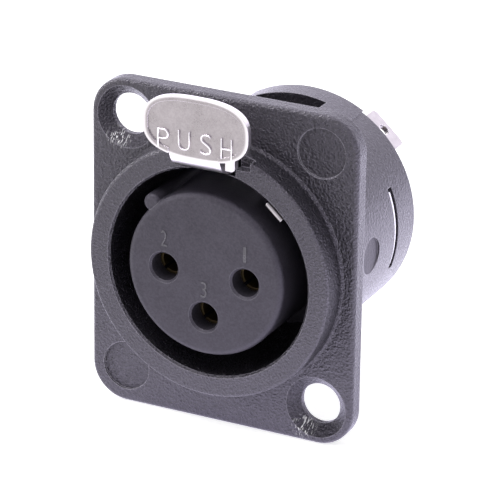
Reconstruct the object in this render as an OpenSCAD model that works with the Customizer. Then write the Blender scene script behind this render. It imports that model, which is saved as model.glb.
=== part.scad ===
// Panel socket for a round three-pole audio plug: die-cast flange and barrel,
// moulded insert with three sleeve contacts, ground spring and a push latch.
// The barrel runs along Y, the front looks towards -Y and the latch is on top (+Z).
// The origin is on the barrel axis, on the rear face of the flange.

/* [Flange] */
// Distance from the centre of a fixing hole to the edges of the flange
hole_margin = 3.5; // [3.2:0.1:5]
// Thickness of the flange
flange_t = 1.6; // [1.2:0.1:2.4]
// Corner radius of the flange outline
flange_corner = 3.4; // [2:0.1:4.5]
// Rounding of the front edge
flange_edge = 0.4; // [0.2:0.1:0.9]

/* [Fixing holes] */
// Distance between the fixing holes across
hole_span_x = 19; // [18.8:0.1:20]
// Distance between the fixing holes up and down
hole_span_z = 24; // [23.8:0.1:25]
// Diameter of each fixing hole
hole_d = 3.8; // [3:0.1:4.2]
// Diameter of the countersink at the front face
countersink_d = 5.8; // [5:0.1:6]
// Depth of the countersink
countersink_depth = 1.05; // [0.5:0.05:1.2]
// Diameter of the two round recesses in the other corners
roundel_d = 4.6; // [3.6:0.1:5.4]
// Depth of the round recesses
roundel_depth = 0.2; // [0.1:0.05:0.5]

/* [Front ring] */
// Wall of the front ring
ring_wall = 2; // [1.6:0.1:2.2]
// Height of the ring above the flange
ring_rise = 2.8; // [2:0.1:3.6]
// Rounding of the outer edge of the ring
ring_edge = 0.25; // [0.1:0.05:0.6]
// Fillet where the ring stands on the flange
ring_foot = 0.35; // [0.1:0.05:0.6]
// Diameter of the bore that takes the shell of the plug
bore_d = 19.4; // [19.2:0.1:20]
// Width of the lead-in chamfer at the mouth of the bore
mouth_chamfer = 0.2; // [0.1:0.05:0.6]

/* [Barrel] */
// Wall of the barrel round its rear bore
barrel_wall = 0.8; // [0.7:0.05:1.1]
// Rise of the flat-sided saddle along the top of the barrel
saddle_rise = 0.2; // [0.1:0.05:0.4]
// Angle that the saddle covers
saddle_angle = 59; // [50:1:70]
// Depth from the face of the ring to the seat of the insert
seat_depth = 13.6; // [13:0.1:15]
// Width of the seat, the step between the bore and the rear bore
seat_step = 0.3; // [0.25:0.05:0.45]
// Length of the barrel behind the snap ring groove
skirt_len = 3.5; // [2.5:0.1:6]
// Distance from the rear end of the barrel to the top window
window_band = 2.3; // [1.5:0.1:3]
// Left edge of the top window at the rear
window_left = 4.2; // [3.9:0.1:4.6]
// Right edge of the top window at the rear
window_right = 2.8; // [2.7:0.1:3.6]
// Start angle of the side slot that shows the snap ring
slot_from = -19; // [-40:1:-5]
// End angle of the side slot
slot_to = 23; // [10:1:26]
// Diameter of the shallow round pocket on the side
pocket_d = 3.4; // [2.4:0.1:4.2]
// Distance of the round pocket behind the flange
pocket_y = 6.7; // [5:0.1:8]
// Height of the round pocket above the axis
pocket_z = -0.3; // [-1:0.1:1]
// Depth of the round pocket
pocket_depth = 0.2; // [0.1:0.05:0.5]

/* [Insert] */
// Width of the gap round the insert that takes the shell of the plug
shell_room = 2.1; // [1.8:0.05:2.3]
// How far the insert stands in front of the ring
insert_proud = 0.55; // [0:0.05:0.8]
// Rounding of the front edge of the insert
insert_edge = 0.6; // [0.3:0.1:1.2]
// Radius of the keying rib
key_r = 0.85; // [0.6:0.05:1]
// Angle of the keying rib from the right
key_angle = 133; // [125:1:140]

/* [Contacts] */
// Distance of each contact from the axis
contact_circle = 3.96; // [3.8:0.02:4.2]
// Inner diameter of the contact sleeves
sleeve_bore_d = 2.25; // [2.1:0.05:2.3]
// Wall of the contact sleeves
sleeve_wall = 0.4; // [0.3:0.05:0.5]
// Diameter of the entry holes in the face of the insert
entry_d = 2.6; // [2.55:0.05:2.8]
// Depth of the entry holes
entry_depth = 1.9; // [1:0.1:2.5]
// Solid length between the bore of a sleeve and its shoulder
sleeve_floor = 0.8; // [0.5:0.1:3]
// Length of the cross slots in each sleeve
sleeve_slot_len = 6; // [4:0.1:8]
// Width of the cross slots
sleeve_slot_w = 0.3; // [0.2:0.05:0.4]
// Diameter of the shoulder that holds each contact
shoulder_d = 4.2; // [3.8:0.1:4.6]
// Thickness of the shoulder
shoulder_t = 1.1; // [0.8:0.1:1.4]
// Diameter of the stem between the shoulder and the solder cup
stem_d = 1.6; // [1.2:0.1:2]
// Outer diameter of the solder cups
cup_d = 3.4; // [3:0.1:3.6]
// Inner diameter of the solder cups
cup_bore_d = 2.6; // [2.2:0.1:2.7]
// Length of the solder cups
cup_len = 4; // [3:0.1:5]

/* [Rear plate and snap ring] */
// Thickness of the flange of the rear plate on its seat
seat_flange_t = 2.5; // [2.4:0.1:3]
// Diameter of the rear plate behind its flange
plate_d = 17.4; // [16:0.1:17.4]
// Thickness of the rear plate behind its flange
plate_t = 1.7; // [1.2:0.1:2.2]
// Width of the locating rib below
locator_w = 2; // [1.2:0.1:3]
// Height of the locating rib above the rear bore
locator_rise = 0.8; // [0.4:0.1:1.2]
// Diameter of the centre peg of the rear plate
peg_d = 2; // [1.4:0.1:2.2]
// Length of the centre peg of the rear plate
peg_len = 3; // [1:0.1:5]
// Thickness of the snap ring
snap_t = 0.7; // [0.5:0.05:0.9]
// Radial width of the snap ring
snap_w = 1.4; // [1:0.1:1.4]
// Thickness of the nose of the snap ring that fills the side slot
nose_t = 0.42; // [0.3:0.02:0.6]
// Depth of the snap ring groove
groove_depth = 0.45; // [0.3:0.05:0.5]

/* [Ground contact] */
// Angle of the ground contact from the right
ground_angle = 47.6; // [44:0.2:50]
// Width of the spring finger
finger_w = 1.95; // [1.4:0.05:2.2]
// Thickness of the ground strip
strip_t = 0.5; // [0.3:0.05:0.5]
// Width of the solder lug
lug_w = 4.1; // [2.6:0.1:4.2]
// Corner radius of the solder lug
lug_corner = 0.5; // [0.3:0.1:1]
// How far the solder lug stands out behind the barrel
lug_out = 3.4; // [2.4:0.1:5]
// Diameter of the eye in the solder lug
eye_d = 1.1; // [0.8:0.1:1.6]

/* [Latch] */
// Width of the thumb plate
thumb_w = 10.14; // [9:0.1:11]
// Height of the thumb plate
thumb_h = 5.6; // [5:0.1:6.4]
// Height of the centre of the thumb plate above the axis
thumb_z = 14.26; // [14:0.05:15]
// How far the thumb plate stands in front of the flange
thumb_out = 5.3; // [4.8:0.05:6]
// Thickness of the thumb plate, pressed thinner than the sheet
thumb_t = 0.45; // [0.35:0.05:0.6]
// Thickness of the latch sheet
sheet_t = 0.7; // [0.5:0.05:0.8]
// Height of the raised rim round the thumb plate
rim_rise = 0.13; // [0.05:0.01:0.3]
// Width of the raised rim
rim_w = 0.45; // [0.3:0.05:0.8]
// Inner radius of the bend between the thumb plate and the web
bend_r = 1.6; // [1:0.1:1.8]
// Left edge of the neck
neck_left = 2.6; // [2.4:0.05:3]
// Right edge of the neck, where a slit parts it from the tab
neck_right = 2.25; // [1.6:0.05:2.3]
// Left edge of the tab beside the neck
tab_left = 2.85; // [2.6:0.05:3.1]
// Width of the tab beside the neck
tab_w = 0.9; // [0.6:0.05:1.2]
// Height of the lower end of the tab above the axis
tab_z = 10.95; // [10.5:0.05:11.4]
// Width of the web where it passes the ring and the flange
throat_w = 4.7; // [4:0.1:5]
// Height of the ledge beside the notch in the ring
ledge_z = 10.2; // [9.9:0.05:10.6]
// Right end of the ledge
ledge_right = 4.05; // [3.6:0.05:4.4]
// Depth of the ledge behind the face of the ring
ledge_depth = 1; // [0.5:0.1:1.6]
// Distance between the inner faces of the side legs
leg_gap = 5.3; // [5:0.1:5.4]
// Distance of the hinge pin behind the flange
pivot_y = 6; // [5.4:0.1:6.4]
// Diameter of the hinge pin
pin_d = 0.8; // [0.6:0.05:0.9]
// Length of the hinge pin
pin_len = 9.4; // [9:0.1:9.8]
// Width of the catch tooth
tooth_w = 3.4; // [2.4:0.1:4]
// Depth of the catch tooth below the web
tooth_drop = 1.25; // [0.8:0.05:1.3]
// Distance of the catching face behind the flange
tooth_y = 1.2; // [0.4:0.1:2]
// Travel of the latch in degrees
latch_travel = 9; // [7:0.5:10]
// Outer diameter of the coil spring
spring_d = 1.76; // [1.4:0.02:1.8]
// Wire diameter of the coil spring
spring_wire = 0.26; // [0.2:0.02:0.3]
// Number of turns of the coil spring
spring_turns = 4; // [3:0.5:5]
// Depth of the spring pocket in the flange of the rear plate
spring_pocket = 1.5; // [1:0.1:2]

/* [Hidden] */

// Clearances
slip = 0.15;
play = 0.35;
pin_play = 0.05;
over = 1;
$fn = 72;

// Flange outline
flange_w = hole_span_x + 2 * hole_margin;
flange_h = hole_span_z + 2 * hole_margin;

// Radii
bore_r = bore_d / 2;
ring_r = bore_r + ring_wall;
rear_bore_r = bore_r + seat_step;
barrel_r = rear_bore_r + barrel_wall;
saddle_r = barrel_r + saddle_rise;
insert_r = bore_r - shell_room;
sleeve_r = sleeve_bore_d / 2 + sleeve_wall;

// Places along the barrel axis
flange_front = -flange_t;
ring_front = flange_front - ring_rise;
insert_front = ring_front - insert_proud;
seat_y = ring_front + seat_depth;
groove_y = seat_y + seat_flange_t;
groove_w = snap_t + slip / 2;
barrel_end = groove_y + groove_w + skirt_len;
window_end = barrel_end - window_band;
plate_end = groove_y + plate_t;

// Radii of the middle of the ground strip: at its tip, where it bows in, and behind
finger_tip_r = bore_r - 0.45;
finger_bow_r = bore_r - 0.65;
lug_r = rear_bore_r - 0.55;

// Latch levels: the web lies just above the bore, clear of the plug shell
web_bottom = bore_r + 0.2;
web_top = web_bottom + sheet_t;
pivot_z = web_bottom + 0.05;
leg_outer = leg_gap / 2 + sheet_t;
floor_z = web_bottom - play;
roof_z = web_top + 1.6;
throat_half = throat_w / 2 + play;
leg_start = play + 0.1;
leg_relief = 0.2;
notch_left = leg_outer + 0.55;
notch_right = leg_outer + play;
eye_r = pin_d / 2 + 0.45;
ear_r = pivot_z + 1.75;
ear_half = 1.9;
leg_end = pivot_y + eye_r + 0.85;
tail_half = 2.2;

// The spring stands in the middle of the plate's flange, under the latch tail
spring_y = seat_y + seat_flange_t / 2;
tail_y = spring_y + spring_d / 2 + 0.07;
tail_dip = (tail_y - pivot_y) * sin(latch_travel);
flat_z = web_bottom - tail_dip - 0.3;
flat_half = tail_half + 0.9;
spring_foot = flat_z - spring_pocket;
spring_len = web_bottom - spring_foot;

// Places of the contacts, in the order of their numbers
contact_angles = [0, 180, 270];
contact_colors = ["goldenrod", "goldenrod", "goldenrod"];

// A round bar along Y from y0 to y1
module bar_y(y0, y1, r) {
    translate([0, y1, 0])
        rotate([90, 0, 0])
            cylinder(h = y1 - y0, r = r);
}

// A cone along Y with radius r0 at y0 and r1 at y1
module cone_y(y0, y1, r0, r1) {
    translate([0, y1, 0])
        rotate([90, 0, 0])
            cylinder(h = y1 - y0, r1 = r1, r2 = r0);
}

// A stretch of ring along Y between two angles, counted from +X towards +Z
module sector_y(y0, y1, r0, r1, from, to) {
    translate([0, y1, 0])
        rotate([90, 0, 0])
            rotate([0, 0, from])
                rotate_extrude(angle = to - from)
                    translate([r0, 0])
                        square([r1 - r0, y1 - y0]);
}

// A round bar along Y whose front edge at y0 is rounded
module nosed_bar_y(y0, y1, r, edge) {
    translate([0, y1, 0])
        rotate([90, 0, 0])
            rotate_extrude() {
                square([r, y1 - y0 - edge]);
                square([r - edge, y1 - y0]);
                intersection() {
                    translate([r - edge, y1 - y0 - edge])
                        circle(edge);
                    square([r, y1 - y0]);
                }
            }
}

// Outline of the rounded flange edge, seen in section
module flange_edge_section() {
    square([flange_corner, flange_t - flange_edge]);
    square([flange_corner - flange_edge, flange_t]);
    translate([flange_corner - flange_edge, flange_t - flange_edge])
        circle(flange_edge);
}

// One side of the flange: a straight edge and the corner at its end
module flange_side(half_across, half_along) {
    translate([half_across - flange_corner, half_along - flange_corner, 0]) {
        rotate([90, 0, 0])
            linear_extrude(2 * (half_along - flange_corner))
                flange_edge_section();
        rotate_extrude(angle = 90)
            flange_edge_section();
    }
}

// The flange plate with its front edge rounded all the way round
module flange_plate() {
    inner_w = flange_w - 2 * flange_corner;
    inner_h = flange_h - 2 * flange_corner;
    rotate([90, 0, 0]) {
        translate([-inner_w / 2, -inner_h / 2, 0])
            cube([inner_w, inner_h, flange_t]);
        for (turn = [0, 180]) {
            rotate([0, 0, turn])
                flange_side(flange_w / 2, flange_h / 2);
            rotate([0, 0, turn + 90])
                flange_side(flange_h / 2, flange_w / 2);
        }
    }
}

// The front ring with its rounded rim and the fillet at its foot
module front_ring() {
    nosed_bar_y(ring_front, 0, ring_r, ring_edge);
    rotate([90, 0, 0])
        rotate_extrude()
            translate([ring_r - 0.01, flange_t - 0.01])
                difference() {
                    square(ring_foot);
                    translate([ring_foot, ring_foot])
                        circle(ring_foot);
                }
}

// The outside of the barrel: tube, saddle on top and the two hinge ears
module barrel_body() {
    bar_y(-0.1, barrel_end, barrel_r);
    sector_y(-0.1, barrel_end, barrel_r - 1, saddle_r,
        90 - saddle_angle / 2, 90 + saddle_angle / 2);
    sector_y(pivot_y - ear_half, pivot_y + ear_half, barrel_r - 1, ear_r,
        90 - saddle_angle / 2, 90 + saddle_angle / 2);
}

// The two countersunk fixing holes and the two shallow recesses
module flange_holes() {
    for (side = [-1, 1]) {
        translate([side * hole_span_x / 2, 0, -side * hole_span_z / 2]) {
            bar_y(-flange_t - over, over, hole_d / 2);
            cone_y(flange_front, flange_front + countersink_depth,
                countersink_d / 2, hole_d / 2);
            bar_y(flange_front - over, flange_front, countersink_d / 2);
        }
        translate([side * hole_span_x / 2, 0, side * hole_span_z / 2])
            bar_y(flange_front - over, flange_front + roundel_depth, roundel_d / 2);
    }
}

// Everything that is hollow along the barrel axis
module barrel_bores() {
    bar_y(ring_front - over, seat_y, bore_r);
    cone_y(ring_front, ring_front + mouth_chamfer, bore_r + mouth_chamfer, bore_r);
    bar_y(seat_y, barrel_end + over, rear_bore_r);
    bar_y(groove_y, groove_y + groove_w, rear_bore_r + groove_depth);
    sector_y(groove_y, groove_y + groove_w, rear_bore_r, barrel_r + over,
        slot_from, slot_to);
    cone_y(barrel_end - 0.3, barrel_end, rear_bore_r, rear_bore_r + 0.3);
}

// The channel for the latch: a notch in ring and flange with a ledge at its right, then a window
module latch_channel() {
    translate([-throat_half, ring_front - over, floor_z])
        cube([2 * throat_half, ring_rise + flange_t + 2 * over, roof_z - floor_z]);
    translate([0, ring_front - over, ledge_z])
        cube([ledge_right, ledge_depth + over, ring_r]);
    // Shallow relief in the back of the flange, in front of the side legs
    translate([-notch_left, -leg_relief, insert_r])
        cube([notch_left + notch_right, leg_relief + over, roof_z - insert_r]);
    translate([-notch_left, 0, insert_r])
        cube([notch_left + notch_right, leg_end + play, ear_r]);
    translate([-window_left, leg_end, insert_r])
        cube([window_left + window_right, window_end - leg_end, ear_r]);
}

// The groove in the bore that takes the ground contact
module ground_groove() {
    rotate([0, -ground_angle, 0])
        translate([insert_r + 1, ring_front + mouth_chamfer, -(finger_w / 2 + play / 2)])
            cube([rear_bore_r - insert_r - 1, seat_depth, finger_w + play]);
}

module housing() {
    color([0.16, 0.16, 0.18]) {
        difference() {
            union() {
                flange_plate();
                front_ring();
                barrel_body();
            }
            flange_holes();
            barrel_bores();
            latch_channel();
            ground_groove();
            translate([0, pivot_y, pivot_z])
                rotate([0, 90, 0])
                    cylinder(h = 2 * ear_r, d = pin_d, center = true);
            translate([barrel_r - pocket_depth, pocket_y, pocket_z])
                rotate([0, 90, 0])
                    cylinder(h = over, d = pocket_d);
        }
        // Locating rib that stops the rear plate from turning
        translate([-locator_w / 2, seat_y, -rear_bore_r - 0.2])
            cube([locator_w, seat_flange_t, locator_rise + 0.2]);
    }
}

// One contact cavity: entry hole, sleeve room and pocket for the shoulder
module contact_cavity() {
    bar_y(insert_front - over, seat_y, entry_d / 2);
    cone_y(insert_front, insert_front + 0.2, entry_d / 2 + 0.2, entry_d / 2);
    bar_y(insert_front + entry_depth, seat_y, sleeve_r + slip);
    bar_y(seat_y - shoulder_t, seat_y + over, shoulder_d / 2 + slip / 2);
}

// Room for the spring finger of the ground contact, from y0 to y1
module finger_room(y0, y1) {
    rotate([0, -ground_angle, 0])
        translate([finger_bow_r - strip_t / 2 - slip, y0, -(finger_w / 2 + slip)])
            cube([rear_bore_r, y1 - y0, finger_w + 2 * slip]);
}

module contact_insert() {
    color([0.2, 0.2, 0.23])
        difference() {
            union() {
                nosed_bar_y(insert_front, seat_y, insert_r, insert_edge);
                rotate([0, -key_angle, 0])
                    translate([insert_r + 0.2, 0, 0])
                        nosed_bar_y(insert_front + 0.2, seat_y, key_r, key_r / 2);
            }
            for (a = contact_angles)
                rotate([0, -a, 0])
                    translate([contact_circle, 0, 0])
                        contact_cavity();
            bar_y(seat_y - peg_len - slip, seat_y + over, peg_d / 2);
            finger_room(insert_front - over, seat_y + over);
        }
}

// One turned contact: slotted sleeve, shoulder, stem and solder cup
module contact(a) {
    sleeve_front = insert_front + entry_depth + slip;
    shoulder_y = seat_y - shoulder_t;
    bore_end = shoulder_y - sleeve_floor;
    cup_y = plate_end + 0.1;
    rotate([0, -a, 0])
        translate([contact_circle, 0, 0])
            rotate([0, a, 0])
                difference() {
                    union() {
                        nosed_bar_y(sleeve_front, shoulder_y + 0.1, sleeve_r, sleeve_wall / 2);
                        bar_y(shoulder_y, seat_y, shoulder_d / 2);
                        bar_y(seat_y - 0.1, cup_y + 0.1, stem_d / 2);
                        bar_y(cup_y, cup_y + cup_len, cup_d / 2);
                    }
                    bar_y(sleeve_front - over, bore_end, sleeve_bore_d / 2);
                    for (turn = [45, 135])
                        rotate([0, turn, 0])
                            translate([-sleeve_r - over, sleeve_front - over, -sleeve_slot_w / 2])
                                cube([2 * (sleeve_r + over), sleeve_slot_len + over, sleeve_slot_w]);
                    bar_y(cup_y + 0.6, cup_y + cup_len + over, cup_bore_d / 2);
                    translate([-cup_d, cup_y + 1.2, 0])
                        cube([2 * cup_d, cup_len, cup_d]);
                }
}

module contact_1() {
    color(contact_colors[0])
        contact(contact_angles[0]);
}

module contact_2() {
    color(contact_colors[1])
        contact(contact_angles[1]);
}

module contact_3() {
    color(contact_colors[2])
        contact(contact_angles[2]);
}

// Moulded plate that closes the insert: a flange on the seat, a peg and three stem holes
module rear_plate() {
    color([0.24, 0.24, 0.26])
        difference() {
            union() {
                bar_y(seat_y, groove_y, rear_bore_r - slip);
                bar_y(groove_y - 0.1, plate_end, plate_d / 2);
                bar_y(seat_y - peg_len, seat_y + 0.1, peg_d / 2 - slip / 3);
            }
            for (a = contact_angles)
                rotate([0, -a, 0])
                    translate([contact_circle, 0, 0])
                        bar_y(seat_y - over, plate_end + over, stem_d / 2 + slip / 2);
            translate([-flat_half, seat_y - over, flat_z])
                cube([2 * flat_half, seat_flange_t + over, rear_bore_r]);
            translate([0, spring_y, spring_foot])
                cylinder(h = rear_bore_r, d = spring_d + slip * 2);
            finger_room(seat_y - over, groove_y);
            translate([-locator_w / 2 - slip, seat_y - over, -rear_bore_r - over])
                cube([locator_w + 2 * slip, seat_flange_t + over, over + locator_rise + slip]);
        }
}

// Open spring ring in its groove, held open at the top for latch and lug, with a nose in the slot
module snap_ring() {
    outer_r = rear_bore_r + groove_depth - slip / 2;
    color([0.75, 0.75, 0.78]) {
        sector_y(groove_y, groove_y + snap_t, outer_r - snap_w, outer_r, 125, 392);
        sector_y(groove_y, groove_y + nose_t, outer_r - 0.1, barrel_r - 0.1,
            slot_from + 2, slot_to - 2);
    }
}

// Straight lengths of strip from point to point with round joints
module strip_path(points) {
    for (i = [0 : len(points) - 2]) {
        step = points[i + 1] - points[i];
        translate(points[i])
            rotate(atan2(step[1], step[0]))
                translate([0, -strip_t / 2])
                    square([norm(step), strip_t]);
        translate(points[i])
            circle(strip_t / 2, $fn = 24);
    }
}

// Flat outline of the solder lug: rounded end, straight root and an eye for the wire
module lug_outline(len) {
    difference() {
        union() {
            translate([0, -lug_w / 2])
                square([len - lug_corner, lug_w]);
            translate([0, -lug_w / 2 + lug_corner])
                square([len, lug_w - 2 * lug_corner]);
            for (side = [-1, 1])
                translate([len - lug_corner, side * (lug_w / 2 - lug_corner)])
                    circle(lug_corner);
        }
        translate([len - eye_d, 0])
            circle(d = eye_d);
    }
}

// Sprung finger along the bore, ending in a solder lug behind the barrel
module ground_contact() {
    lug_y = groove_y + groove_w + 0.4;
    lug_end = barrel_end + lug_out;
    tip_y = ring_front + mouth_chamfer + 0.3;
    finger_len = seat_y - tip_y;
    color([0.86, 0.86, 0.88])
        rotate([0, -ground_angle, 0]) {
            linear_extrude(finger_w, center = true)
                strip_path([
                    [finger_tip_r, tip_y],
                    [finger_bow_r, tip_y + finger_len / 5],
                    [bore_r - 0.25, tip_y + finger_len * 3 / 5],
                    [lug_r, seat_y - strip_t],
                    [lug_r, lug_y + strip_t]
                ]);
            translate([lug_r - strip_t / 2, lug_y, 0])
                rotate([90, 0, 90])
                    linear_extrude(strip_t)
                        lug_outline(lug_end - lug_y);
        }
}

// Points of the thumb plate outline: a full, rounded oval
function oval(half_w, half_h, power = 2.7, steps = 72) = [
    for (i = [0 : steps - 1])
        let (a = 360 * i / steps)
        [half_w * sign(cos(a)) * pow(abs(cos(a)), 2 / power),
         half_h * sign(sin(a)) * pow(abs(sin(a)), 2 / power)]
];

// Thumb plate with its raised rim, which is open where the neck leaves it
module thumb_plate() {
    rim_front = flange_front - thumb_out;
    field_front = rim_front + rim_rise;
    translate([0, field_front + thumb_t, thumb_z])
        rotate([90, 0, 0]) {
            linear_extrude(thumb_t)
                polygon(oval(thumb_w / 2, thumb_h / 2));
            linear_extrude(thumb_t + rim_rise)
                difference() {
                    polygon(oval(thumb_w / 2, thumb_h / 2));
                    polygon(oval(thumb_w / 2 - rim_w, thumb_h / 2 - rim_w));
                    translate([-neck_left, -thumb_h])
                        square([neck_left + neck_right, thumb_h]);
                }
        }
}

// A sheet shape drawn in the side view and given a width across X
module side_shape(x0, x1) {
    translate([x0, 0, 0])
        rotate([90, 0, 90])
            linear_extrude(x1 - x0)
                children();
}

// Neck that bends from the thumb plate into the web, in side view
module neck_section(front, fold_y, fold_z) {
    translate([front, fold_z - 0.01])
        square([sheet_t, 0.6]);
    intersection() {
        difference() {
            translate([fold_y, fold_z])
                circle(bend_r + sheet_t);
            translate([fold_y, fold_z])
                circle(bend_r);
        }
        translate([front, web_bottom])
            square(bend_r + sheet_t);
    }
}

// Tab that hangs from the thumb plate beside the neck, in front view
module tab_outline() {
    nose = 0.3;
    tab_top = thumb_z - thumb_h / 3;
    translate([tab_left, tab_z + nose])
        square([tab_w, tab_top - tab_z - nose]);
    translate([tab_left, tab_z])
        square([tab_w - nose, 2 * nose]);
    translate([tab_left + tab_w - nose, tab_z + nose])
        circle(nose);
}

// Side leg behind the flange with the eye on the hinge pin, in side view
module leg_section() {
    polygon([
        [leg_start, web_bottom],
        [pivot_y, web_bottom],
        [leg_end, web_bottom],
        [leg_end, web_top],
        [pivot_y, web_top + 0.15],
        [leg_start, web_top]
    ]);
    translate([pivot_y, pivot_z])
        circle(eye_r);
}

module latch_lever() {
    front = flange_front - thumb_out + rim_rise;
    fold_y = front + sheet_t + bend_r;
    fold_z = web_bottom + sheet_t + bend_r;
    web_half = leg_gap / 2 + 0.01;
    cross_y = pivot_y + eye_r - 0.05;
    color([0.8, 0.77, 0.74])
        difference() {
            union() {
                thumb_plate();
                side_shape(-throat_w / 2, neck_right)
                    neck_section(front, fold_y, fold_z);
                // The neck is wider in front of the ring than in its notch
                intersection() {
                    side_shape(-neck_left, neck_right)
                        neck_section(front, fold_y, fold_z);
                    translate([-thumb_w, front - over, 0])
                        cube([2 * thumb_w, ring_front - play - 0.1 - front + over, 2 * thumb_z]);
                }
                translate([0, front + sheet_t, 0])
                    rotate([90, 0, 0])
                        linear_extrude(sheet_t)
                            tab_outline();
                // Web that passes the flange and joins the legs, open round the hinge pin
                translate([-throat_w / 2, fold_y - 0.1, web_bottom])
                    cube([throat_w, tooth_y - fold_y + 0.1, sheet_t]);
                translate([-web_half, leg_start, web_bottom])
                    cube([2 * web_half, pivot_y - 1 - leg_start, sheet_t]);
                translate([-web_half, cross_y, web_bottom])
                    cube([2 * web_half, leg_end - cross_y, sheet_t]);
                translate([-tail_half, cross_y, web_bottom])
                    cube([2 * tail_half, tail_y - cross_y, sheet_t]);
                side_shape(-tooth_w / 2, tooth_w / 2)
                    polygon([
                        [tooth_y - 0.7, web_bottom - tooth_drop],
                        [tooth_y, web_bottom - tooth_drop],
                        [tooth_y, web_bottom + 0.1],
                        [tooth_y - 1.7, web_bottom + 0.1],
                        [tooth_y - 1.7, web_bottom]
                    ]);
                side_shape(leg_gap / 2, leg_outer)
                    leg_section();
                side_shape(-leg_outer, -leg_gap / 2)
                    leg_section();
            }
            translate([0, pivot_y, pivot_z])
                rotate([0, 90, 0])
                    cylinder(h = 2 * leg_outer + over, r = pin_d / 2 + pin_play, center = true);
        }
}

module latch_pin() {
    color([0.7, 0.7, 0.72])
        translate([0, pivot_y, pivot_z])
            rotate([0, 90, 0])
                cylinder(h = pin_len, d = pin_d, center = true);
}

// Ring of wire points at one place along the coil
function coil_ring(t, r, rise, wire_r, sides) = [
    for (k = [0 : sides - 1])
        let (a = 360 * spring_turns * t, b = 360 * k / sides, u = r + wire_r * cos(b))
        [u * cos(a), u * sin(a), wire_r + rise * t + wire_r * sin(b)]
];

// Coil spring swept as one closed tube of wire
module latch_spring() {
    sides = 8;
    steps = 12 * spring_turns;
    wire_r = spring_wire / 2;
    coil_r = spring_d / 2 - wire_r;
    rise = spring_len - 2 * wire_r - 0.02;
    points = [
        for (i = [0 : steps])
            each coil_ring(i / steps, coil_r, rise, wire_r, sides)
    ];
    walls = [
        for (i = [0 : steps - 1], k = [0 : sides - 1])
            let (n = (k + 1) % sides, p = i * sides, q = p + sides)
            [p + k, p + n, q + n, q + k]
    ];
    start_cap = [[for (k = [sides - 1 : -1 : 0]) k]];
    end_cap = [[for (k = [0 : sides - 1]) steps * sides + k]];
    color([0.72, 0.72, 0.74])
        translate([0, spring_y, spring_foot + 0.01])
            polyhedron(points, concat(start_cap, walls, end_cap), convexity = 6);
}

housing();
contact_insert();
contact_1();
contact_2();
contact_3();
rear_plate();
snap_ring();
ground_contact();
latch_lever();
latch_pin();
latch_spring();
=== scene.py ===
import math

import bpy
from mathutils import Matrix, Vector


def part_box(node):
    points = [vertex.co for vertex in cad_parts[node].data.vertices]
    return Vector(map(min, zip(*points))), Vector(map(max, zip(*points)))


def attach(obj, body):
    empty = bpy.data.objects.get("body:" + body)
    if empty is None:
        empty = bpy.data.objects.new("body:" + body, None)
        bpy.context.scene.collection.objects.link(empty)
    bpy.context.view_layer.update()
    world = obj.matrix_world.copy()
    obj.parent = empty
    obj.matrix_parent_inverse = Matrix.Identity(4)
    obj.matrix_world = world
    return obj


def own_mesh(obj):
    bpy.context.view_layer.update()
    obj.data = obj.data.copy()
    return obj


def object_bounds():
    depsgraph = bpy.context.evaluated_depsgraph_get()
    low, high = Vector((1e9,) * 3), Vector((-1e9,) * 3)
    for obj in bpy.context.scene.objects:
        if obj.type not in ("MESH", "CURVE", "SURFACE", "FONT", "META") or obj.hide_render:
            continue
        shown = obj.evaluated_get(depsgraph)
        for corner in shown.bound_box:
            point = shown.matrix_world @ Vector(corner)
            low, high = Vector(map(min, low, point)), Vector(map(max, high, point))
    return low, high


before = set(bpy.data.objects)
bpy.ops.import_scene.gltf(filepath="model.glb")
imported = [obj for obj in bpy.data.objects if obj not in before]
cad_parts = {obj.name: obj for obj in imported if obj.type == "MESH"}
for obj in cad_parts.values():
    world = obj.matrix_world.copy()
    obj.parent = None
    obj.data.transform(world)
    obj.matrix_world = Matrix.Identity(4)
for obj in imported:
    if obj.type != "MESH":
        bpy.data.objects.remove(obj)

cad_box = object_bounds()
MM = 0.001


# The photographer's place: a long lens, a little to the right of the socket and
# above it, aimed at the middle of the flange and rolled by one degree.
view_azimuth = math.radians(26.111)
view_elevation = math.radians(22.45)
view_roll = math.radians(0.878)
view_distance = 298.045 * MM
aim_point = Vector((2.801, -1.6, 1.756)) * MM
sensor_width = 36.0
focal_in_frames = 3400.825 / 500

towards_camera = Vector((
    math.sin(view_azimuth) * math.cos(view_elevation),
    -math.cos(view_azimuth) * math.cos(view_elevation),
    math.sin(view_elevation)))
level_right = Vector((math.cos(view_azimuth), math.sin(view_azimuth), 0))
level_up = towards_camera.cross(level_right)
camera_right = level_right * math.cos(view_roll) + level_up * math.sin(view_roll)
camera_up = level_up * math.cos(view_roll) - level_right * math.sin(view_roll)
camera_place = aim_point + towards_camera * view_distance

bpy.ops.object.camera_add()
camera = bpy.context.object
camera.data.sensor_width = sensor_width
camera.data.lens = focal_in_frames * sensor_width
camera.data.clip_start = 0.01
camera.matrix_world = Matrix((
    (camera_right.x, camera_up.x, towards_camera.x, camera_place.x),
    (camera_right.y, camera_up.y, towards_camera.y, camera_place.y),
    (camera_right.z, camera_up.z, towards_camera.z, camera_place.z),
    (0, 0, 0, 1)))
bpy.context.scene.camera = camera


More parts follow.
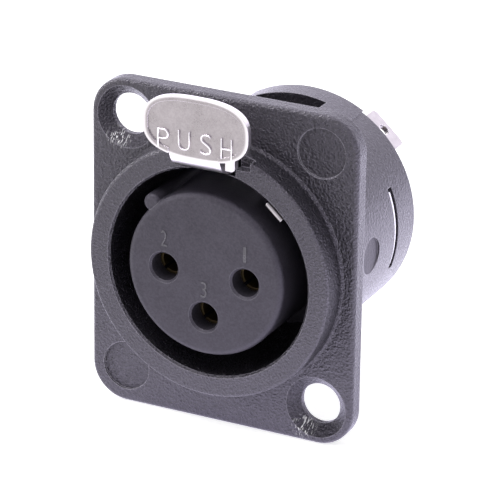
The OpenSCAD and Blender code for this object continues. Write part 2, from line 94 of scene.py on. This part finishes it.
# The studio: a white sweep far larger than the socket, brighter behind it and
# above it than on the photographer's side, with three soft lamps. Nothing is fixed to it.
floor_drop = 0.05 * MM
floor_size = 3.0
floor_white = (0.88, 0.88, 0.88, 1)
floor_seen = 0.62
floor_mirrored = {"from": -60 * MM, "to": 8 * MM, "front": 0.06, "back": 1.58}
sky_light = 0.8
sky_seen = 1.0
sky_mirrored = {"front": 0.72, "back": 2.1}
mirror_tint = (0.97, 0.935, 1.08, 1)
floor_tint = (0.945, 0.89, 1.21, 1)
lamps = (
    {"name": "soft_top", "place": (-0.10, -0.16, 0.42), "size": 0.20, "watts": 0.85},
    {"name": "soft_left", "place": (-0.34, -0.30, 0.16), "size": 0.16, "watts": 0.5},
    {"name": "edge_light", "place": (-0.40, 0.05, 0.18), "size": 0.14, "watts": 0.8},
)

floor_level = cad_box[0][2] - floor_drop
bpy.ops.mesh.primitive_plane_add(size=floor_size, location=(0, 0, floor_level))
floor = bpy.context.object
floor.name = "studio_floor"

floor_paint = bpy.data.materials.new("studio_floor")
floor_paint.use_nodes = True
nodes = floor_paint.node_tree.nodes
links = floor_paint.node_tree.links
shader = nodes["Principled BSDF"]
shader.inputs["Base Color"].default_value = floor_white
shader.inputs["Roughness"].default_value = 0.9
shader.inputs["Specular IOR Level"].default_value = 0.0
place = nodes.new("ShaderNodeTexCoord")
along = nodes.new("ShaderNodeVectorMath")
along.operation = "DOT_PRODUCT"
along.inputs[1].default_value = (0.6, 1.0, 0.0)
links.new(place.outputs["Object"], along.inputs[0])
depth = nodes.new("ShaderNodeMapRange")
depth.interpolation_type = "SMOOTHSTEP"
depth.inputs["From Min"].default_value = floor_mirrored["from"]
depth.inputs["From Max"].default_value = floor_mirrored["to"]
depth.inputs["To Min"].default_value = floor_mirrored["front"]
depth.inputs["To Max"].default_value = floor_mirrored["back"]
links.new(along.outputs["Value"], depth.inputs["Value"])
rays = nodes.new("ShaderNodeLightPath")
mirrored = nodes.new("ShaderNodeMath")
mirrored.operation = "MULTIPLY"
links.new(rays.outputs["Is Glossy Ray"], mirrored.inputs[0])
links.new(depth.outputs["Result"], mirrored.inputs[1])
glow = nodes.new("ShaderNodeMath")
glow.operation = "MULTIPLY_ADD"
glow.inputs[1].default_value = floor_seen
links.new(rays.outputs["Is Camera Ray"], glow.inputs[0])
links.new(mirrored.outputs[0], glow.inputs[2])
glow_tint = nodes.new("ShaderNodeMix")
glow_tint.data_type = "RGBA"
glow_tint.inputs["A"].default_value = floor_tint
glow_tint.inputs["B"].default_value = (1, 1, 1, 1)
links.new(rays.outputs["Is Camera Ray"], glow_tint.inputs["Factor"])
links.new(glow_tint.outputs["Result"], shader.inputs["Emission Color"])
links.new(glow.outputs[0], shader.inputs["Emission Strength"])
floor.data.materials.append(floor_paint)

sky = bpy.data.worlds.new("studio_sky")
bpy.context.scene.world = sky
sky.use_nodes = True
nodes = sky.node_tree.nodes
links = sky.node_tree.links
background = nodes["Background"]
background.inputs["Color"].default_value = (1, 1, 1, 1)
background.inputs["Strength"].default_value = sky_light
direct = nodes.new("ShaderNodeBackground")
direct.inputs["Color"].default_value = (1, 1, 1, 1)
direct.inputs["Strength"].default_value = sky_seen
reflected = nodes.new("ShaderNodeBackground")
reflected.inputs["Color"].default_value = mirror_tint
place = nodes.new("ShaderNodeTexCoord")
height = nodes.new("ShaderNodeVectorMath")
height.operation = "DOT_PRODUCT"
height.inputs[1].default_value = (-0.25, 0.6, 0.76)
links.new(place.outputs["Generated"], height.inputs[0])
level = nodes.new("ShaderNodeMapRange")
level.interpolation_type = "SMOOTHSTEP"
level.inputs["From Min"].default_value = 0.1
level.inputs["From Max"].default_value = 0.95
level.inputs["To Min"].default_value = sky_mirrored["front"]
level.inputs["To Max"].default_value = sky_mirrored["back"]
links.new(height.outputs["Value"], level.inputs["Value"])
links.new(level.outputs["Result"], reflected.inputs["Strength"])
rays = nodes.new("ShaderNodeLightPath")
for_mirrors = nodes.new("ShaderNodeMixShader")
links.new(rays.outputs["Is Glossy Ray"], for_mirrors.inputs["Fac"])
links.new(background.outputs[0], for_mirrors.inputs[1])
links.new(reflected.outputs[0], for_mirrors.inputs[2])
through = nodes.new("ShaderNodeMath")
through.operation = "MAXIMUM"
links.new(rays.outputs["Is Camera Ray"], through.inputs[0])
links.new(rays.outputs["Is Transmission Ray"], through.inputs[1])
for_camera = nodes.new("ShaderNodeMixShader")
links.new(through.outputs[0], for_camera.inputs["Fac"])
links.new(for_mirrors.outputs[0], for_camera.inputs[1])
links.new(direct.outputs[0], for_camera.inputs[2])
links.new(for_camera.outputs[0], nodes["World Output"].inputs["Surface"])

for lamp in lamps:
    place = Vector(lamp["place"])
    bpy.ops.object.light_add(type="AREA", location=place)
    light = bpy.context.object
    light.name = lamp["name"]
    light.data.shape = "DISK"
    light.data.size = lamp["size"]
    light.data.energy = lamp["watts"]
    light.rotation_euler = place.to_track_quat("Z", "Y").to_euler()

bpy.context.scene.view_settings.view_transform = "Standard"


# The housing is one zinc die casting, coated black. The coat follows the fine pebbled
# texture of the mould, and every edge of the casting has a small radius that catches light,
# with a painted highlight along it.
def grain_group():
    """Fine speckle and a slow mottle from noise in the piece's own place."""
    group = bpy.data.node_groups.new("fine_grain", "ShaderNodeTree")
    socket = group.interface.new_socket
    socket("Speckle Size", in_out="INPUT", socket_type="NodeSocketFloat")
    socket("Mottle Size", in_out="INPUT", socket_type="NodeSocketFloat")
    for name in ("Height", "Speckle", "Mottle"):
        socket(name, in_out="OUTPUT", socket_type="NodeSocketFloat")
    inside = group.nodes.new("NodeGroupInput")
    outside = group.nodes.new("NodeGroupOutput")
    place = group.nodes.new("ShaderNodeTexCoord")
    speckle = group.nodes.new("ShaderNodeTexNoise")
    speckle.inputs["Detail"].default_value = 3
    mottle = group.nodes.new("ShaderNodeTexNoise")
    mottle.inputs["Detail"].default_value = 2
    for noise, size in ((speckle, "Speckle Size"), (mottle, "Mottle Size")):
        scale = group.nodes.new("ShaderNodeMath")
        scale.operation = "DIVIDE"
        scale.inputs[0].default_value = 1.0
        group.links.new(inside.outputs[size], scale.inputs[1])
        group.links.new(place.outputs["Object"], noise.inputs["Vector"])
        group.links.new(scale.outputs[0], noise.inputs["Scale"])
    for noise, name in ((speckle, "Speckle"), (mottle, "Mottle")):
        stretch = group.nodes.new("ShaderNodeMapRange")
        stretch.inputs["From Min"].default_value = 0.35
        stretch.inputs["From Max"].default_value = 0.65
        group.links.new(noise.outputs["Fac"], stretch.inputs["Value"])
        group.links.new(stretch.outputs["Result"], outside.inputs[name])
    group.links.new(speckle.outputs["Fac"], outside.inputs["Height"])
    return group


def edge_group():
    """A small radius along sharp edges, given out as a normal and as a mask of the edges."""
    group = bpy.data.node_groups.new("broken_edge", "ShaderNodeTree")
    socket = group.interface.new_socket
    socket("Radius", in_out="INPUT", socket_type="NodeSocketFloat")
    socket("Normal", in_out="OUTPUT", socket_type="NodeSocketVector")
    socket("Edge", in_out="OUTPUT", socket_type="NodeSocketFloat")
    inside = group.nodes.new("NodeGroupInput")
    outside = group.nodes.new("NodeGroupOutput")
    bevel = group.nodes.new("ShaderNodeBevel")
    bevel.samples = 6
    group.links.new(inside.outputs["Radius"], bevel.inputs["Radius"])
    face = group.nodes.new("ShaderNodeNewGeometry")
    along = group.nodes.new("ShaderNodeVectorMath")
    along.operation = "DOT_PRODUCT"
    group.links.new(bevel.outputs["Normal"], along.inputs[0])
    group.links.new(face.outputs["Normal"], along.inputs[1])
    turned = group.nodes.new("ShaderNodeMapRange")
    turned.inputs["From Min"].default_value = 1.0
    turned.inputs["From Max"].default_value = 0.85
    group.links.new(along.outputs["Value"], turned.inputs["Value"])
    group.links.new(bevel.outputs["Normal"], outside.inputs["Normal"])
    group.links.new(turned.outputs["Result"], outside.inputs["Edge"])
    return group


fine_grain = grain_group()
broken_edge = edge_group()


def finish_of(name, colour, darker, edge_highlight_colour, metallic, roughness, spread,
              speckle, mottle, bump, edge_radius, pitting=0.3):
    """A finish that wanders with mottle and speckle and is rubbed smooth along its edges,
    which are painted lighter as a painted highlight.
    """
    material = bpy.data.materials.new(name)
    material.use_nodes = True
    nodes = material.node_tree.nodes
    links = material.node_tree.links
    shader = nodes["Principled BSDF"]
    shader.inputs["Metallic"].default_value = metallic
    grain = nodes.new("ShaderNodeGroup")
    grain.node_tree = fine_grain
    grain.inputs["Speckle Size"].default_value = speckle
    grain.inputs["Mottle Size"].default_value = mottle
    edge = nodes.new("ShaderNodeGroup")
    edge.node_tree = broken_edge
    edge.inputs["Radius"].default_value = edge_radius
    tone = nodes.new("ShaderNodeMix")
    tone.data_type = "RGBA"
    tone.inputs["A"].default_value = (*darker, 1)
    tone.inputs["B"].default_value = (*colour, 1)
    pits = nodes.new("ShaderNodeMix")
    pits.inputs["Factor"].default_value = pitting
    links.new(grain.outputs["Mottle"], pits.inputs["A"])
    links.new(grain.outputs["Speckle"], pits.inputs["B"])
    links.new(pits.outputs["Result"], tone.inputs["Factor"])
    # Painted highlight: the edges take a lighter colour.
    painted_edge_highlight = nodes.new("ShaderNodeMix")
    painted_edge_highlight.data_type = "RGBA"
    painted_edge_highlight.inputs["B"].default_value = (*edge_highlight_colour, 1)
    links.new(edge.outputs["Edge"], painted_edge_highlight.inputs["Factor"])
    links.new(tone.outputs["Result"], painted_edge_highlight.inputs["A"])
    links.new(painted_edge_highlight.outputs["Result"], shader.inputs["Base Color"])
    gloss = nodes.new("ShaderNodeMapRange")
    gloss.inputs["To Min"].default_value = roughness - spread
    gloss.inputs["To Max"].default_value = roughness + spread
    links.new(pits.outputs["Result"], gloss.inputs["Value"])
    smooth = nodes.new("ShaderNodeMath")
    smooth.operation = "MULTIPLY_ADD"
    smooth.inputs[1].default_value = -0.45 * roughness
    links.new(edge.outputs["Edge"], smooth.inputs[0])
    links.new(gloss.outputs["Result"], smooth.inputs[2])
    links.new(smooth.outputs[0], shader.inputs["Roughness"])
    relief = nodes.new("ShaderNodeBump")
    relief.inputs["Strength"].default_value = 1.0
    relief.inputs["Distance"].default_value = bump
    links.new(grain.outputs["Height"], relief.inputs["Height"])
    links.new(edge.outputs["Normal"], relief.inputs["Normal"])
    links.new(relief.outputs["Normal"], shader.inputs["Normal"])
    return material


def dress(node, material):
    """Gives a CAD node its finish."""
    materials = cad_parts[node].data.materials
    materials.clear()
    materials.append(material)


def lay_over(material, mask, colour, roughness):
    """Lays a second tone over a finish wherever the mask is one."""
    nodes = material.node_tree.nodes
    links = material.node_tree.links
    shader = nodes["Principled BSDF"]
    for socket, kind, value in (("Base Color", "RGBA", (*colour, 1)),
                                ("Roughness", "FLOAT", roughness)):
        below = shader.inputs[socket].links[0].from_socket
        mix = nodes.new("ShaderNodeMix")
        mix.data_type = kind
        mix.inputs["B"].default_value = value
        links.new(mask, mix.inputs["Factor"])
        links.new(below, mix.inputs["A"])
        links.new(mix.outputs["Result"], shader.inputs[socket])


def along_y(material, from_y, to_y):
    """A mask that rises from nought to one along the barrel axis."""
    nodes = material.node_tree.nodes
    links = material.node_tree.links
    place = nodes.new("ShaderNodeTexCoord")
    split = nodes.new("ShaderNodeSeparateXYZ")
    ramp = nodes.new("ShaderNodeMapRange")
    ramp.inputs["From Min"].default_value = from_y
    ramp.inputs["From Max"].default_value = to_y
    links.new(place.outputs["Object"], split.inputs["Vector"])
    links.new(split.outputs["Y"], ramp.inputs["Value"])
    return ramp.outputs["Result"]


black_casting = finish_of(
    "black_casting", colour=(0.020, 0.018, 0.025), darker=(0.001, 0.001, 0.001),
    edge_highlight_colour=(0.36, 0.34, 0.40), metallic=0.0, roughness=0.31, spread=-0.06,
    speckle=0.22 * MM, mottle=3 * MM, bump=0.22 * MM, edge_radius=0.12 * MM, pitting=0.85)
coat = black_casting.node_tree.nodes["Principled BSDF"]
coat.inputs["IOR"].default_value = 1.72
coat.inputs["Specular Tint"].default_value = (0.95, 0.90, 1.0, 1)
dress("housing", black_casting)

# The mould was rough at the flange and its ring, and smoother round the barrel.
barrel_relief = 0.4
nodes = black_casting.node_tree.nodes
links = black_casting.node_tree.links
calmer = nodes.new("ShaderNodeMapRange")
calmer.inputs["To Min"].default_value = 1.0
calmer.inputs["To Max"].default_value = barrel_relief
links.new(along_y(black_casting, 0.0, 0.3 * MM), calmer.inputs["Value"])
links.new(calmer.outputs["Result"], nodes["Bump"].inputs["Strength"])

# The countersinks are cut after coating. Their gritty tool marks are painted near-white only
# at their lower left, a painted glint where the light catches them.
tool_mark_glints = ((-10.4, 10.0), (8.3, -14.2))
mark_reach = 1.3 * MM
place = nodes.new("ShaderNodeTexCoord")
near = None
for x, z in tool_mark_glints:
    away = nodes.new("ShaderNodeVectorMath")
    away.operation = "DISTANCE"
    away.inputs[1].default_value = (x * MM, -1.3 * MM, z * MM)
    links.new(place.outputs["Object"], away.inputs[0])
    if near is None:
        near = away.outputs["Value"]
    else:
        least = nodes.new("ShaderNodeMath")
        least.operation = "MINIMUM"
        links.new(near, least.inputs[0])
        links.new(away.outputs["Value"], least.inputs[1])
        near = least.outputs[0]
fade = nodes.new("ShaderNodeMapRange")
fade.inputs["From Min"].default_value = mark_reach
fade.inputs["From Max"].default_value = 0.4 * mark_reach
links.new(near, fade.inputs["Value"])
slant = nodes.new("ShaderNodeMapping")
slant.inputs["Rotation"].default_value = (0, math.radians(35), 0)
slant.inputs["Scale"].default_value = (5 / MM, 1 / MM, 1.2 / MM)
links.new(place.outputs["Object"], slant.inputs["Vector"])
streaks = nodes.new("ShaderNodeTexNoise")
streaks.inputs["Scale"].default_value = 1.9
streaks.inputs["Detail"].default_value = 3
links.new(slant.outputs["Vector"], streaks.inputs["Vector"])
sharp = nodes.new("ShaderNodeMapRange")
sharp.inputs["From Min"].default_value = 0.56
sharp.inputs["From Max"].default_value = 0.59
links.new(streaks.outputs["Fac"], sharp.inputs["Value"])
glinting_marks = nodes.new("ShaderNodeMath")
glinting_marks.operation = "MULTIPLY"
links.new(fade.outputs["Result"], glinting_marks.inputs[0])
links.new(sharp.outputs["Result"], glinting_marks.inputs[1])
# Painted glint: near-white streaks at the lower left of each countersink.
lay_over(black_casting, glinting_marks.outputs[0], (0.85, 0.84, 0.86), 0.3)

# The floor of the round pocket in the side of the barrel was left rough by its core pin.
pocket_middle = Vector((10.6, 6.7, -0.3)) * MM
pocket_radius = 1.68 * MM
away = nodes.new("ShaderNodeVectorMath")
away.operation = "DISTANCE"
away.inputs[1].default_value = pocket_middle
links.new(place.outputs["Object"], away.inputs[0])
disc = nodes.new("ShaderNodeMath")
disc.operation = "LESS_THAN"
disc.inputs[1].default_value = pocket_radius
links.new(away.outputs["Value"], disc.inputs[0])
lay_over(black_casting, disc.outputs[0], (0.030, 0.027, 0.036), 0.55)


# The insert and the plate behind it are moulded in dark glass-filled plastic with a matt
# face. The numbers of the three contacts stand a little out of the face.
insert_plastic = finish_of(
    "insert_plastic", colour=(0.044, 0.040, 0.053), darker=(0.018, 0.016, 0.023),
    edge_highlight_colour=(0.20, 0.19, 0.22), metallic=0.0, roughness=0.5, spread=0.05,
    speckle=0.18 * MM, mottle=2 * MM, bump=0.035 * MM, edge_radius=0.09 * MM, pitting=0.7)
dress("contact_insert", insert_plastic)
dress("rear_plate", insert_plastic)

resin = insert_plastic.node_tree.nodes["Principled BSDF"]
resin.inputs["Specular Tint"].default_value = (0.95, 0.90, 1.0, 1)

insert_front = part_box("contact_insert")[0][1]
numeral_height = 1.5 * MM
numeral_widths = {"1": 0.32 * MM, "2": 0.62 * MM, "3": 0.62 * MM}
numeral_rise = 0.07 * MM
numerals = {"1": (3.96, 2.75), "2": (-3.96, 2.75), "3": (0.0, -1.35)}


def raised_text(name, text, middle_x, middle_z, width, height, rise, rounding, thinned,
                face_y):
    """Raised letters on a face that looks towards -Y, fitted to a width and a height."""
    bpy.ops.object.select_all(action="DESELECT")
    bpy.ops.object.text_add()
    letters = bpy.context.object
    letters.name = name
    letters.data.body = text
    letters.data.align_x = "CENTER"
    letters.data.align_y = "CENTER"
    letters.data.size = 1.35 * height
    letters.data.extrude = rise / 2
    letters.data.bevel_depth = rounding
    letters.data.offset = -thinned
    letters.data.bevel_resolution = 2
    letters.data.resolution_u = 6
    bpy.ops.object.convert(target="MESH")
    corners = [v.co for v in letters.data.vertices]
    low = Vector([min(c[k] for c in corners) for k in range(3)])
    high = Vector([max(c[k] for c in corners) for k in range(3)])
    middle, span = (low + high) / 2, high - low
    across = width / span.x
    up = height / span.y
    for vertex in letters.data.vertices:
        at = vertex.co - middle
        vertex.co = Vector((
            middle_x + at.x * across,
            face_y - at.z,
            middle_z + at.y * up))
    return letters


# The numerals are the same plastic, glossier, and painted lighter as a painted highlight on
# their raised strokes.
numeral_gloss_and_highlight = finish_of(
    "numeral_gloss_and_highlight", colour=(0.088, 0.082, 0.099), darker=(0.066, 0.062, 0.075),
    edge_highlight_colour=(0.22, 0.21, 0.24), metallic=0.0, roughness=0.26, spread=0.03,
    speckle=0.15 * MM, mottle=1 * MM, bump=0.008 * MM, edge_radius=0.03 * MM)
for number, (x, z) in numerals.items():
    numeral = raised_text(
        "numeral_" + number, number, x * MM, z * MM, numeral_widths[number], numeral_height,
        numeral_rise, 0.03 * MM, 0.03 * MM, insert_front)
    numeral.data.materials.append(numeral_gloss_and_highlight)
    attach(numeral, "socket")


# The three contacts are turned brass with a thin gold flash. Their front part, deep inside
# the insert's holes, is painted dark as painted shade.
contact_metal = finish_of(
    "contact_metal", colour=(0.62, 0.47, 0.22), darker=(0.5, 0.37, 0.16),
    edge_highlight_colour=(0.8, 0.64, 0.34), metallic=1.0, roughness=0.32, spread=0.06,
    speckle=0.1 * MM, mottle=0.8 * MM, bump=0.003 * MM, edge_radius=0.06 * MM)
for number in (1, 2, 3):
    dress(f"contact_{number}", contact_metal)


sleeve_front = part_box("contact_1")[0][1]
# Painted shade: the sleeves turn dark towards their front, inside the insert.
lay_over(contact_metal, along_y(contact_metal, sleeve_front + 9 * MM, sleeve_front + 6 * MM),
         (0.16, 0.12, 0.06), 0.5)


# Bright spring steel: the open ring in its groove, the hinge pin and the coil spring.
spring_steel = finish_of(
    "spring_steel", colour=(0.68, 0.67, 0.68), darker=(0.58, 0.57, 0.58),
    edge_highlight_colour=(0.82, 0.81, 0.82), metallic=1.0, roughness=0.26, spread=0.06,
    speckle=0.08 * MM, mottle=0.8 * MM, bump=0.003 * MM, edge_radius=0.05 * MM)
for node in ("snap_ring", "latch_pin", "latch_spring"):
    dress(node, spring_steel)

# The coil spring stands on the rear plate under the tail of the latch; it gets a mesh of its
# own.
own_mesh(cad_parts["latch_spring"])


# The ground contact is stamped from tinned bronze strip. Its tip shows inside the bore
# and its solder lug stands out behind the barrel.
tinned_strip = finish_of(
    "tinned_strip", colour=(0.54, 0.51, 0.505), darker=(0.42, 0.395, 0.39),
    edge_highlight_colour=(0.92, 0.9, 0.89), metallic=1.0, roughness=0.38, spread=0.05,
    speckle=0.1 * MM, mottle=0.7 * MM, bump=0.004 * MM, edge_radius=0.06 * MM)
dress("ground_contact", tinned_strip)


# The latch is stamped steel with a satin nickel plate. Its rim and the raised word that
# tells where to push are painted lighter, a painted highlight.
latch_nickel = finish_of(
    "latch_nickel", colour=(0.43, 0.392, 0.406), darker=(0.32, 0.292, 0.302),
    edge_highlight_colour=(0.60, 0.56, 0.58), metallic=1.0, roughness=0.3, spread=0.05,
    speckle=0.14 * MM, mottle=1.3 * MM, bump=0.015 * MM, edge_radius=0.07 * MM, pitting=0.5)
dress("latch_lever", latch_nickel)

plate_low, plate_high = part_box("latch_lever")
plate_rim = plate_low[1]
half_width = plate_high[0]
half_height = 2.8 * MM
plate_middle = plate_high[2] - half_height
plate_roundness = 2.7
rim_highlight_width = 0.16 * MM
rim_highlight = (0.78, 0.74, 0.76)
inside_shade = (0.10, 0.095, 0.10)


def rim_mask(material):
    """A mask of the outer strip of the plate's rounded oval, where a painted highlight is
    laid.
    """
    nodes = material.node_tree.nodes
    links = material.node_tree.links
    place = nodes.new("ShaderNodeTexCoord")
    split = nodes.new("ShaderNodeSeparateXYZ")
    links.new(place.outputs["Object"], split.inputs["Vector"])
    terms = []
    for axis, middle, half in (("X", 0.0, half_width), ("Z", plate_middle, half_height)):
        chain = split.outputs[axis]
        for operation, value in (("SUBTRACT", middle), ("ABSOLUTE", 0.0), ("DIVIDE", half),
                                 ("POWER", plate_roundness)):
            step = nodes.new("ShaderNodeMath")
            step.operation = operation
            step.inputs[1].default_value = value
            links.new(chain, step.inputs[0])
            chain = step.outputs[0]
        terms.append(chain)
    from_reach = 1 - 1.25 * rim_highlight_width / half_height
    to_reach = 1 - 0.6 * rim_highlight_width / half_height
    total = nodes.new("ShaderNodeMath")
    total.operation = "ADD"
    links.new(terms[0], total.inputs[0])
    links.new(terms[1], total.inputs[1])
    ramp = nodes.new("ShaderNodeMapRange")
    ramp.inputs["From Min"].default_value = from_reach ** plate_roundness
    ramp.inputs["From Max"].default_value = to_reach ** plate_roundness
    links.new(total.outputs[0], ramp.inputs["Value"])
    return ramp.outputs["Result"]


# Painted highlight along the rim of the plate.
lay_over(latch_nickel, rim_mask(latch_nickel), rim_highlight, 0.28)
# Painted shade: the latch turns dark behind its front, where it lies inside the housing.
lay_over(latch_nickel, along_y(latch_nickel, -4.9 * MM, -4.5 * MM), inside_shade, 0.5)
# The letters are painted near-white as a painted highlight on their raised strokes.
letter_highlight_nickel = finish_of(
    "letter_highlight_nickel", colour=(0.88, 0.85, 0.86), darker=(0.82, 0.79, 0.8),
    edge_highlight_colour=(0.92, 0.9, 0.9), metallic=1.0, roughness=0.24, spread=0.04,
    speckle=0.1 * MM, mottle=1.0 * MM, bump=0.003 * MM, edge_radius=0.05 * MM)
letter_middle = plate_rim + 0.07 * MM
letters = (
    {"text": "P", "x": (-3.66, -2.54), "z": (12.02, 13.82)},
    {"text": "U", "x": (-1.64, -0.50), "z": (12.14, 13.90)},
    {"text": "S", "x": (0.46, 1.55), "z": (12.10, 13.96)},
    {"text": "H", "x": (2.46, 3.54), "z": (12.05, 13.88)},
)
for letter in letters:
    (left, right), (low, high) = letter["x"], letter["z"]
    stroke = raised_text(
        "push_" + letter["text"].lower(), letter["text"],
        (left + right) / 2 * MM, (low + high) / 2 * MM,
        (right - left) * MM, (high - low) * MM, 0.12 * MM, 0.045 * MM, 0.09 * MM,
        letter_middle)
    stroke.data.materials.append(letter_highlight_nickel)
    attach(stroke, "latch")
